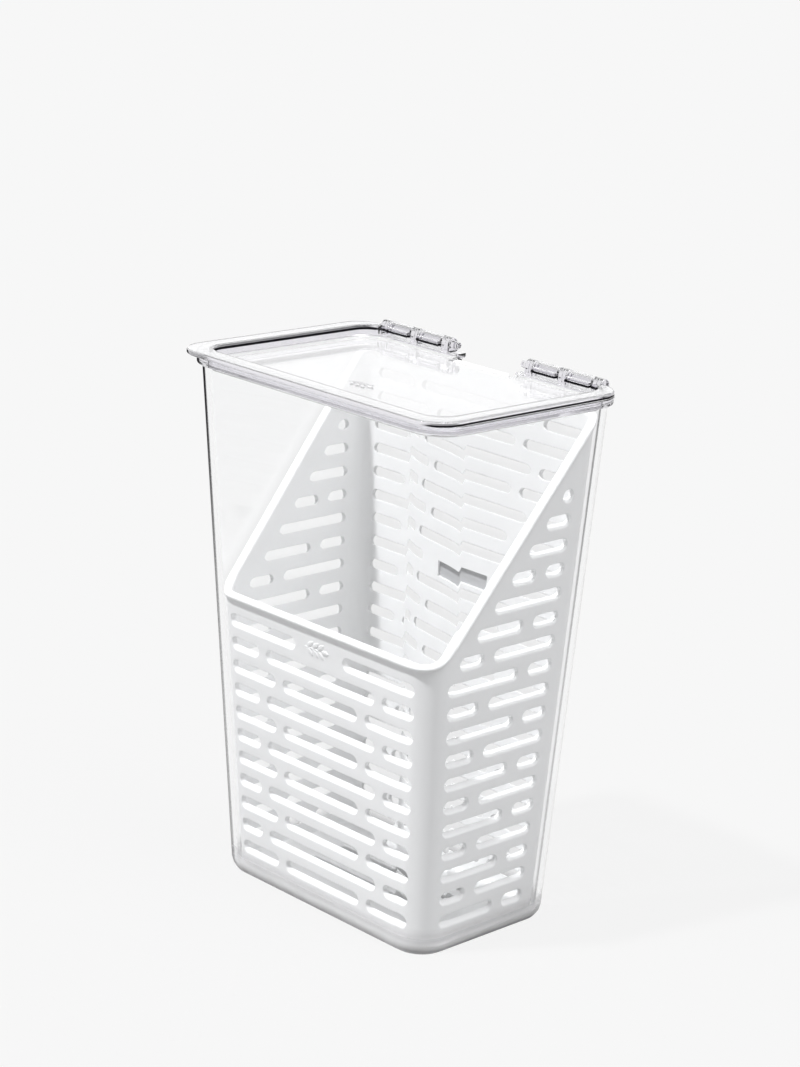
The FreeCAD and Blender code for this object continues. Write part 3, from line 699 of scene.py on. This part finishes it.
def wall_mesh(name):
    """One slotted wall with half of each of its corners, bent into place."""
    wall = WALLS[name]
    slots = side_wall_rows(name) if name in ("left", "right") else cross_wall_rows(name)
    if name == "back":
        slots = [(-high, -low, height) for low, high, height in slots]
    bottom = [(u, WALL_START) for u in wall.stops(WALL_START)]
    top = [edge_place(wall, stop, WALL_DROP) for stop in mouth_stops(wall)]
    outline = bottom + top[::-1]
    window = None
    if name == "back":
        middle = FIRST_ROW + ROW_PITCH * row_count(FRONT_HEIGHT) - WINDOW_DROP
        low, high = middle - WINDOW_HEIGHT / 2, middle + WINDOW_HEIGHT / 2
        window = [(-WINDOW_HALF, low), (WINDOW_HALF, low),
                  (WINDOW_HALF, high), (-WINDOW_HALF, high)]
    mesh = bmesh.new()
    slotted_sheet(mesh, outline, outline, slots, SLOT_HEIGHT, LEDGE_DROP, window)
    mesh.verts.ensure_lookup_table()
    front = [mesh.verts.new((u, v, 0)) for u, v in top]
    behind = [mesh.verts.new((u, v, WALL)) for u, v in top]
    for index in range(len(top) - 1):
        mesh.faces.new((front[index], front[index + 1], behind[index + 1], behind[index]))
    bmesh.ops.remove_doubles(mesh, verts=mesh.verts[:], dist=FLAT_WELD)
    slice_corners(mesh, wall)
    for vert in mesh.verts:
        u, height, depth = vert.co
        vert.co = wall.place(u, height, depth) * MM
    return mesh


def ring_round(height, depth):
    """The basket's outline at a height and a depth behind its outer face, as one closed loop."""
    loop = []
    for wall in WALLS.values():
        loop += [wall.place(u, height, depth) for u in wall.stops(height)[:-1]]
    return loop


# The floor joins the walls in a wide round outside and a small one inside, and has drain slots
# between the two ribs that the basket stands on.

DRAIN_WIDTH, DRAIN_HALF, DRAIN_COUNT = 4.0, 33.0, 5
DRAIN_FRONT, DRAIN_BACK = -10.0, 26.5
RIB_WIDTH, RIB_HALF, RIB_EDGE = 2.0, 42.25, 0.4
RIB_FRONTS, RIB_SINK = (-14.0, 28.5), 1.0


def floor_mesh():
    mesh = bmesh.new()
    outside = [ring_round(BOTTOM + rise, depth) for rise, depth in quarter(OUTER_ROUND)]
    inside = [ring_round(BASKET_FLOOR + rise, WALL + depth) for rise, depth in quarter(INNER_ROUND, 3)]
    outside.append(ring_round(WALL_START, 0))
    inside.append(ring_round(WALL_START, WALL))
    for rings in (outside, inside):
        loops = [[mesh.verts.new(point) for point in ring] for ring in rings]
        for first, second in zip(loops, loops[1:]):
            for index in range(len(first)):
                following = (index + 1) % len(first)
                mesh.faces.new((first[index], first[following], second[following], second[index]))
    step = (DRAIN_BACK - DRAIN_FRONT - DRAIN_WIDTH) / (DRAIN_COUNT - 1)
    middles = [DRAIN_FRONT + DRAIN_WIDTH / 2 + step * number for number in range(DRAIN_COUNT)]
    drains = [(-DRAIN_HALF, DRAIN_HALF, middle) for middle in middles]
    sheet = bmesh.new()
    under = [(point.x, point.y) for point in outside[0]]
    above = [(point.x, point.y) for point in inside[0]]
    slotted_sheet(sheet, under, above, drains, DRAIN_WIDTH, 0)
    for vert in sheet.verts:
        x, y, depth = vert.co
        vert.co = Vector((x, y, BOTTOM + depth))
    data = bpy.data.meshes.new("floor_sheet")
    sheet.to_mesh(data)
    sheet.free()
    mesh.from_mesh(data)
    for vert in mesh.verts:
        vert.co *= MM
    return mesh


def band_mesh():
    """The flange: a flat band with round edges that follows the mouth all the way round."""
    path = []
    for wall in WALLS.values():
        for stop in mouth_stops(wall)[:-1]:
            u, height = edge_place(wall, stop, 0)
            path.append((wall.place(u, height, 0), wall.normal(u, height)))
    section = []
    low, high = -WALL, BAND_OVERHANG
    for out, up, first in ((high, 0, 0), (low, 0, 90), (low, -BAND_THICKNESS, 180),
                           (high, -BAND_THICKNESS, 270)):
        middle_out = out - math.copysign(BAND_ROUND, out)
        middle_up = up - BAND_ROUND if up == 0 else up + BAND_ROUND
        for step in range(BAND_STEPS + 1):
            turn = math.radians(first + 90 * step / BAND_STEPS)
            section.append((middle_out + BAND_ROUND * math.cos(turn),
                            middle_up + BAND_ROUND * math.sin(turn)))
    mesh = bmesh.new()
    loops = []
    for index, (point, outward) in enumerate(path):
        along = (path[(index + 1) % len(path)][0] - path[index - 1][0]).normalized()
        up = outward.cross(along).normalized()
        loops.append([mesh.verts.new((point + outward * a + up * b) * MM) for a, b in section])
    for index, loop in enumerate(loops):
        following = loops[(index + 1) % len(loops)]
        for side in range(len(section)):
            other = (side + 1) % len(section)
            mesh.faces.new((loop[side], loop[other], following[other], following[side]))
    return mesh


# A plain lifting tab with hollow shoulders stands up at the back, in front of the rim's notch.

TAB_HALF, TAB_TOP, TAB_SHOULDER, TAB_CORNER = 14.5, 208.4, 3.6, 1.6
TAB_STEPS, TAB_EDGE = 6, 0.5
WELD = 0.002


def bevelled(piece, width, segments=3):
    """Round off a small piece's sharp edges."""
    soft = piece.modifiers.new("soft edges", "BEVEL")
    soft.width = width * MM
    soft.segments = segments
    soft.limit_method = "ANGLE"
    soft.angle_limit = math.radians(40)
    return apply_modifiers(piece)


def tab_piece():
    half = [(TAB_HALF + TAB_SHOULDER, BACK_HEIGHT - WALL_DROP)]
    half += [(TAB_HALF + inward, BACK_HEIGHT + rise)
             for rise, inward in quarter(TAB_SHOULDER, TAB_STEPS)]
    half += [(TAB_HALF - inward, TAB_TOP - drop) for inward, drop in quarter(TAB_CORNER, TAB_STEPS)]
    outline = half + [(-across, height) for across, height in reversed(half)]
    wall = WALLS["back"]
    mesh = bmesh.new()
    rings = [[mesh.verts.new(wall.place(-across, height, depth) * MM) for across, height in outline]
             for depth in (0, WALL)]
    for index in range(len(outline)):
        following = (index + 1) % len(outline)
        mesh.faces.new((rings[0][index], rings[0][following], rings[1][following], rings[1][index]))
    mesh.faces.new(rings[0])
    mesh.faces.new(rings[1][::-1])
    bmesh.ops.recalc_face_normals(mesh, faces=mesh.faces)
    return bevelled(piece_from(mesh, "tab"), TAB_EDGE)


def merge_all(name, meshes):
    """One mesh from several, with the points that they share welded."""
    whole = bmesh.new()
    for part in meshes:
        data = bpy.data.meshes.new(name)
        part.to_mesh(data)
        part.free()
        whole.from_mesh(data)
        bpy.data.meshes.remove(data)
    bmesh.ops.remove_doubles(whole, verts=whole.verts[:], dist=WELD * MM)
    bmesh.ops.recalc_face_normals(whole, faces=whole.faces)
    return whole


def taken_mesh(piece):
    """The mesh of a piece, which is removed."""
    mesh = bmesh.new()
    mesh.from_mesh(piece.data)
    bpy.data.objects.remove(piece)
    return mesh


# A small herb sprig, raised a little, marks the middle of the front wall's upper edge and the lid.

SPRIG_HALF, SPRIG_RISE = 6.8, 0.5
STEM_HALF = 0.28
LEAF_LENGTH, LEAF_HALF = 4.4, 1.05
LEAF_LEAN = math.radians(38)
LEAF_PAIRS, FIRST_LEAF, LEAF_STEP, LEAF_APART = 3, 1.6, 2.9, 0.15
LEAF_DOME = ((-1, -0.2), (-0.6, 0.75), (0, 0.9), (0.6, 0.75), (1, -0.2))
LEAF_TIP, LEAF_FULLNESS, LEAF_STEPS = 0.05, 0.8, 10
SPRIG_MIDDLE = (-1.0, 108.9)


def sprig_leaves():
    """Each leaf as a foot, a direction, a length and a half width, in a sprig that lies flat."""
    leaves = [((-SPRIG_HALF, 0), 0, 2 * SPRIG_HALF - LEAF_LENGTH, STEM_HALF)]
    for number in range(LEAF_PAIRS):
        foot = -SPRIG_HALF + FIRST_LEAF + number * LEAF_STEP
        for side in (1, -1):
            leaves.append(((foot, LEAF_APART * side), side * LEAF_LEAN, LEAF_LENGTH, LEAF_HALF))
    leaves.append(((SPRIG_HALF - LEAF_LENGTH, 0), 0, LEAF_LENGTH, LEAF_HALF))
    return leaves


def sprig_meshes(place):
    """Domed leaves and their stem; place(u, v, rise) puts a point on the surface that carries them."""
    meshes = []
    for foot, turn, length, half in sprig_leaves():
        along = Vector((math.cos(turn), math.sin(turn)))
        across = Vector((-along.y, along.x))
        rings = []
        for step in range(LEAF_STEPS + 1):
            share = step / LEAF_STEPS
            swell = max(LEAF_TIP, math.sin(math.pi * share) ** LEAF_FULLNESS)
            middle = Vector(foot) + along * length * share
            ring = []
            for offset, rise in LEAF_DOME:
                point = middle + across * half * swell * offset
                ring.append(place(point.x, point.y, SPRIG_RISE * rise * min(1, swell * 2)))
            rings.append(ring)
        meshes.append(skin(rings))
    return meshes


def on_front_wall(u, v, rise):
    return WALLS["front"].place(SPRIG_MIDDLE[0] + u, SPRIG_MIDDLE[1] + v, -rise)


parts = [wall_mesh(name) for name in WALLS] + [floor_mesh(), band_mesh(), taken_mesh(tab_piece())]
for rib_front in RIB_FRONTS:
    rib = block("rib", (-RIB_HALF, rib_front, FLOOR_TOP),
                (RIB_HALF, rib_front + RIB_WIDTH, BASKET_FLOOR - RIB_SINK))
    parts.append(taken_mesh(bevelled(rib, RIB_EDGE)))
parts += sprig_meshes(on_front_wall)
basket = soft_shading(piece_from(merge_all("basket_moulding", parts), "basket_moulding"))


BASKET_WHITE, BASKET_SHADE = (0.88, 0.885, 0.885), (0.85, 0.855, 0.858)
WINDOW_GREY, WINDOW_SHADE = (0.46, 0.465, 0.475), (0.4, 0.405, 0.415)
CLOUD_SCALE, GRAIN_SCALE = 35.0, 1800.0
SATIN_LEAST, SATIN_MOST = 0.32, 0.44
GRAIN_STRENGTH, GRAIN_DEPTH = 0.15, 0.05


def white_plastic(name, colour, shade):
    """Satin moulded plastic, with a fine mould texture and a faintly uneven tone."""
    material, tree = new_material(name)
    place = tree.nodes.new("ShaderNodeTexCoord").outputs["Object"]
    cloud = node(tree, "ShaderNodeTexNoise", Vector=place, Scale=CLOUD_SCALE, Detail=3.0)
    grain = node(tree, "ShaderNodeTexNoise", Vector=place, Scale=GRAIN_SCALE, Detail=2.0)
    satin = node(tree, "ShaderNodeMapRange", Value=cloud.outputs["Fac"])
    satin.inputs["To Min"].default_value = SATIN_LEAST
    satin.inputs["To Max"].default_value = SATIN_MOST
    relief = node(tree, "ShaderNodeBump", Height=grain.outputs["Fac"], Strength=GRAIN_STRENGTH,
                  Distance=GRAIN_DEPTH * MM)
    surface = node(tree, "ShaderNodeBsdfPrincipled", Roughness=satin.outputs["Result"],
                   Base_Color=mixed_colour(tree, cloud.outputs["Fac"], shade, colour),
                   Normal=relief.outputs["Normal"])
    output = tree.nodes.new("ShaderNodeOutputMaterial")
    tree.links.new(surface.outputs[0], output.inputs["Surface"])
    return material


basket.data.materials.append(white_plastic("white_basket_plastic", BASKET_WHITE, BASKET_SHADE))
basket.data.materials.append(white_plastic("window_floor_plastic", WINDOW_GREY, WINDOW_SHADE))
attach(basket, "keeper")
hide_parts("basket")


# Lid: one clear styrene moulding, a flat edge that lies over the container's rim, round a shallow
# tray that hangs inside the mouth. Two clips on each side of its notch snap over the hinge bars.

LID_LOW, LID_TOP = 211.3, 213.4
LID_HALF, LID_FRONT, LID_BACK = 69.8, 51.5, 47.5
LID_FRONT_CORNER, LID_BACK_CORNER = 12.0, 11.0
TRAY_UNDER, TRAY_TOP = 205.9, 207.9
TRAY_OUTER, TRAY_INNER = 2.7, 4.5
TRAY_ROUND, TRAY_INNER_ROUND = 1.2, 1.4
LID_EDGE_ROUND = 0.7
LID_NOTCH_FRONT = 41.5
BORE_RADIUS = 1.56
SNAP_HALF = 1.25
CLIP_EDGE = 0.25
ARM_ROOT, ARM_SINK, ARM_HAIR, ARM_TOP_GAP = 1.0, 0.5, 0.05, 0.1
LID_CUT_LOW, LID_CUT_BACK = 200.0, 60.0
TRAY_SPRIG = (-3.4, -16.9)
# The lid's white share on faces that look up is a painted sheen, and the last value here is the height
# of a painted shadow along its lowest edge.
LID_TINT, LID_RIPPLES, LID_TOP_SHEEN, SEAM_SHADOW_HEIGHT = (0.975, 0.977, 0.98), 18, 0.27, 0.9


def plate_outline(height, inset):
    return round_outline(LID_HALF - inset, LID_FRONT - inset, LID_BACK - inset,
                         LID_FRONT_CORNER - inset, LID_BACK_CORNER - inset, height)


def clip_section(shrink, steps=18):
    """A clip is an open ring: its slot, towards the back, snaps over the bar."""
    outer, bore = BARREL_RADIUS - shrink, BORE_RADIUS + shrink
    section = []
    for radius, sign in ((outer, 1), (bore, -1)):
        gap = math.asin(SNAP_HALF / radius)
        turns = [gap + (2 * math.pi - 2 * gap) * step / steps for step in range(steps + 1)]
        for turn in turns[::sign]:
            section.append((AXIS_BACK + radius * math.cos(turn),
                            AXIS_HEIGHT + radius * math.sin(turn)))
    return section


rings = [wall_outline(TRAY_UNDER + rise, TRAY_OUTER + inset) for rise, inset in quarter(TRAY_ROUND)]
rings.append(wall_outline(LID_LOW, TRAY_OUTER))
rings += [plate_outline(LID_LOW + rise, inset) for rise, inset in quarter(LID_EDGE_ROUND, 3)]
rings += [plate_outline(LID_TOP - drop, inset) for inset, drop in quarter(LID_EDGE_ROUND, 3)]
rings += [wall_outline(LID_TOP - drop, TRAY_INNER - inset)
          for drop, inset in quarter(LID_EDGE_ROUND, 3)]
rings += [wall_outline(TRAY_TOP + rise, TRAY_INNER + inset)
          for inset, rise in quarter(TRAY_INNER_ROUND)]
lid = piece_from(skin(rings), "lid_moulding")
cutters = [block("notch", (-NOTCH_HALF, LID_NOTCH_FRONT, LID_CUT_LOW),
                 (NOTCH_HALF, LID_CUT_BACK, CUT_TOP))]
for start, end in both_sides(*zone_ends):
    cutters.append(block("hinge_room", (start, AXIS_BACK - zone_reach, AXIS_HEIGHT - zone_reach),
                         (end, LID_CUT_BACK, CUT_TOP)))
carve(lid, cutters)
clips = []
for first, second in zip(LUG_STARTS, LUG_STARTS[1:]):
    for start, end in both_sides(first + LUG_WIDTH + LUG_CLEARANCE, second - LUG_CLEARANCE):
        arm_start = (start + ARM_HAIR, AXIS_BACK - zone_reach - ARM_ROOT, LID_LOW + ARM_HAIR)
        arm_end = (end - ARM_HAIR, AXIS_BACK - BORE_RADIUS - ARM_SINK, LID_TOP - ARM_TOP_GAP)
        clips.append(block("arm", arm_start, arm_end))
        clips.append(cross_bar("clip", clip_section, start, end, CLIP_EDGE))
carve(lid, clips, "UNION")


def on_tray(u, v, rise):
    return Vector((TRAY_SPRIG[0] + u, TRAY_SPRIG[1] + v, TRAY_TOP + rise))


carve(lid, [piece_from(leaf, "leaf") for leaf in sprig_meshes(on_tray)], "UNION")
soft_shading(lid)
lid.data.materials.clear()
# The lid gets the painted sheen on faces that look up and a painted shadow in the seam along its lowest
# edge.
lid.data.materials.append(
    clear_plastic("clear_lid_plastic", LID_TINT, LID_RIPPLES, LID_LOW, LID_TOP_SHEEN,
                  (LID_LOW, LID_LOW + SEAM_SHADOW_HEIGHT)))
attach(lid, "lid")
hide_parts("lid")


# Camera: it stands to the right of the low front and looks down a little, rolled slightly, with
# the focal length and the aim that put the keeper where the photograph has it.

AZIMUTH, ELEVATION, ROLL = 44.664934, 18.772108, 3.59709
DISTANCE = 1.0238
AIM = Vector((0, 0.0085, 0.105))
FOCAL_PIXELS = 2659.6
FRAME_WIDTH, FRAME_HEIGHT = 800, 1067
AIM_PIXEL = (400.231, 639.219)
SENSOR, VIEW_DEPTH = 36.0, 20
azimuth, elevation, roll = (math.radians(angle) for angle in (AZIMUTH, ELEVATION, ROLL))
away = Vector((math.sin(azimuth) * math.cos(elevation), -math.cos(azimuth) * math.cos(elevation),
               math.sin(elevation)))
forward = -away
level_right = forward.cross(Vector((0, 0, 1))).normalized()
level_up = level_right.cross(forward)
right = level_right * math.cos(roll) + level_up * math.sin(roll)
up = level_up * math.cos(roll) - level_right * math.sin(roll)
towards_aim = Vector(((AIM_PIXEL[0] - FRAME_WIDTH / 2) / FOCAL_PIXELS,
                      (FRAME_HEIGHT / 2 - AIM_PIXEL[1]) / FOCAL_PIXELS, 1)).normalized()
shift_turn = Vector((0, 0, 1)).rotation_difference(towards_aim).to_matrix()
axes = shift_turn @ Matrix((right, up, forward))
camera_data = bpy.data.cameras.new("camera")
camera_data.sensor_fit = "HORIZONTAL"
camera_data.sensor_width = SENSOR
camera_data.lens = SENSOR * FOCAL_PIXELS / FRAME_WIDTH
camera_data.clip_end = VIEW_DEPTH
camera = bpy.data.objects.new("camera", camera_data)
camera.matrix_world = Matrix.Translation(AIM + away * DISTANCE) @ Matrix(
    (axes[0], axes[1], -axes[2])).transposed().to_4x4()
bpy.context.scene.collection.objects.link(camera)
bpy.context.scene.camera = camera


# Studio: a pale floor without an edge, even light all round, a small lamp in front and a broad,
# softer one on the right. Floor and background show as the same pale grey, with a faint shadow.

BACKGROUND = (0.93, 0.93, 0.93, 1)
FLOOR_HALF = 8.0
FLOOR_SHOW = 0.88
FLOOR_GLOW = (0.98, 0.98, 0.98, 1)
FLOOR_GREY = (0.32, 0.32, 0.32, 1)


def bent_rays(path):
    """1 for what is seen in a reflection or through the clear plastic."""
    return larger(path.id_data, path.outputs["Is Glossy Ray"], path.outputs["Is Transmission Ray"])


floor_sheet = bmesh.new()
bmesh.ops.create_grid(floor_sheet, x_segments=1, y_segments=1, size=FLOOR_HALF)
floor = piece_from(floor_sheet, "studio_floor")
floor_material, tree = new_material("pale_floor")
path = tree.nodes.new("ShaderNodeLightPath")
seen = larger(tree, path.outputs["Is Camera Ray"], bent_rays(path))
matt = node(tree, "ShaderNodeBsdfDiffuse", Color=FLOOR_GREY)
shown = node(tree, "ShaderNodeEmission", Color=FLOOR_GLOW, Strength=1.0)
output = tree.nodes.new("ShaderNodeOutputMaterial")
tree.links.new(mixed_shader(tree, product(tree, seen, FLOOR_SHOW), matt.outputs[0],
                            shown.outputs[0]), output.inputs["Surface"])
floor.data.materials.append(floor_material)

# The world lights evenly. In reflections and through the clear plastic it shows one dark band, from
# 30 to 37 degrees up, which draws the thin dark lines along the polished edges. Each of its steps
# is the height of a direction, 0 level and 1 overhead, with the brightness there.

AMBIENT = 0.4
BANDS = ((0.0, 0.93), (0.44, 0.93), (0.5, 0.07), (0.6, 0.07), (0.68, 0.95), (1.0, 0.95))
world = bpy.data.worlds.new("studio")
bpy.context.scene.world = world
world.use_nodes = True
tree = world.node_tree
tree.nodes.clear()
direction = tree.nodes.new("ShaderNodeTexCoord").outputs["Generated"]
ramp = node(tree, "ShaderNodeValToRGB",
            Fac=node(tree, "ShaderNodeSeparateXYZ", Vector=direction).outputs["Z"])
for index, (position, value) in enumerate(BANDS):
    stop = ramp.color_ramp.elements[index] if index < 2 else ramp.color_ramp.elements.new(position)
    stop.position = position
    stop.color = (value, value, value, 1)
path = tree.nodes.new("ShaderNodeLightPath")
even = node(tree, "ShaderNodeBackground", Color=(1, 1, 1, 1), Strength=AMBIENT)
shown = node(tree, "ShaderNodeBackground", Color=BACKGROUND, Strength=1.0)
banded = node(tree, "ShaderNodeBackground", Color=ramp.outputs["Color"], Strength=1.0)
direct = mixed_shader(tree, path.outputs["Is Camera Ray"], even.outputs[0], shown.outputs[0])
output = tree.nodes.new("ShaderNodeOutputWorld")
tree.links.new(mixed_shader(tree, bent_rays(path), direct, banded.outputs[0]), output.inputs["Surface"])

# Each lamp: its name, the direction that it shines from, its strength, and how broad it is in degrees.

LAMPS = (
    ("front_lamp", (-0.2, -0.5, 0.84), 3.4, 4),
    ("right_lamp", (0.5, 0.1, 0.86), 1.65, 40),
)
for name, source, strength, spread in LAMPS:
    lamp_data = bpy.data.lights.new(name, "SUN")
    lamp_data.energy = strength
    lamp_data.angle = math.radians(spread)
    lamp = bpy.data.objects.new(name, lamp_data)
    lamp.rotation_mode = "QUATERNION"
    lamp.rotation_quaternion = Vector(source).to_track_quat("Z", "Y")
    bpy.context.scene.collection.objects.link(lamp)

bpy.context.scene.view_settings.view_transform = "Standard"
